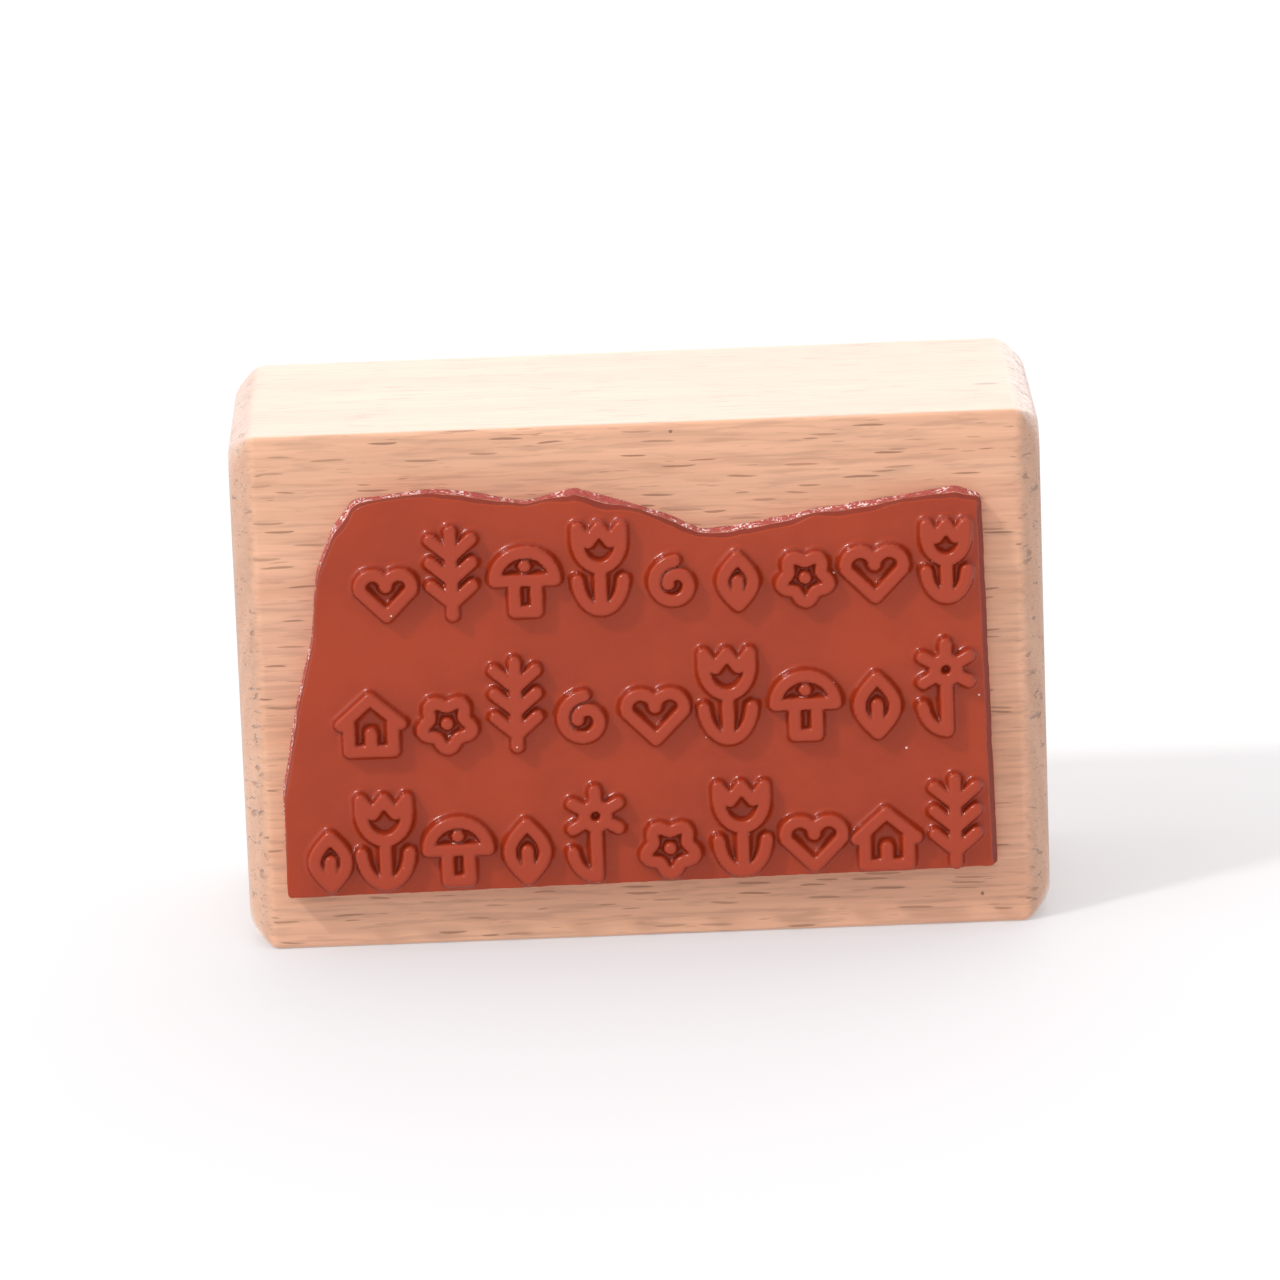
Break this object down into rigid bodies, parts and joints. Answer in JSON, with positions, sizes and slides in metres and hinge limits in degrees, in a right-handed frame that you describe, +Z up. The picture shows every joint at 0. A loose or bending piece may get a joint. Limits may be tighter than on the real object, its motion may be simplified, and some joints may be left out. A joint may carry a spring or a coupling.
{
  "type": "wood-mounted rubber stamp",
  "caption": "Wood-mounted rubber stamp: solid beech block, cushioned and hand-cut red rubber die on one broad face, printed index of the same artwork on the other.",
  "frame": {"origin": "middle of the wood block's lower long side, which the stamp stands on", "axes": "+X along the block's length and grain, -Y out of the printing face, +Y out of the index face, +Z up"},
  "size_m": [0.07, 0.0313, 0.046],
  "materials": {
    "beech": "sanded, unvarnished",
    "adhesive": "clear tacky film",
    "cushion": "matt cellular rubber",
    "die_rubber": "semi-matt moulded",
    "ink": "matt printing ink"
  },
  "bodies": {
    "root": {"wood_block": "beech", "block_adhesive": "adhesive", "cushion": "cushion", "die_adhesive": "adhesive", "rubber_die": "die_rubber", "index_print_top": "ink", "index_print_middle": "ink", "index_print_bottom": "ink"}
  },
  "joints": []
}
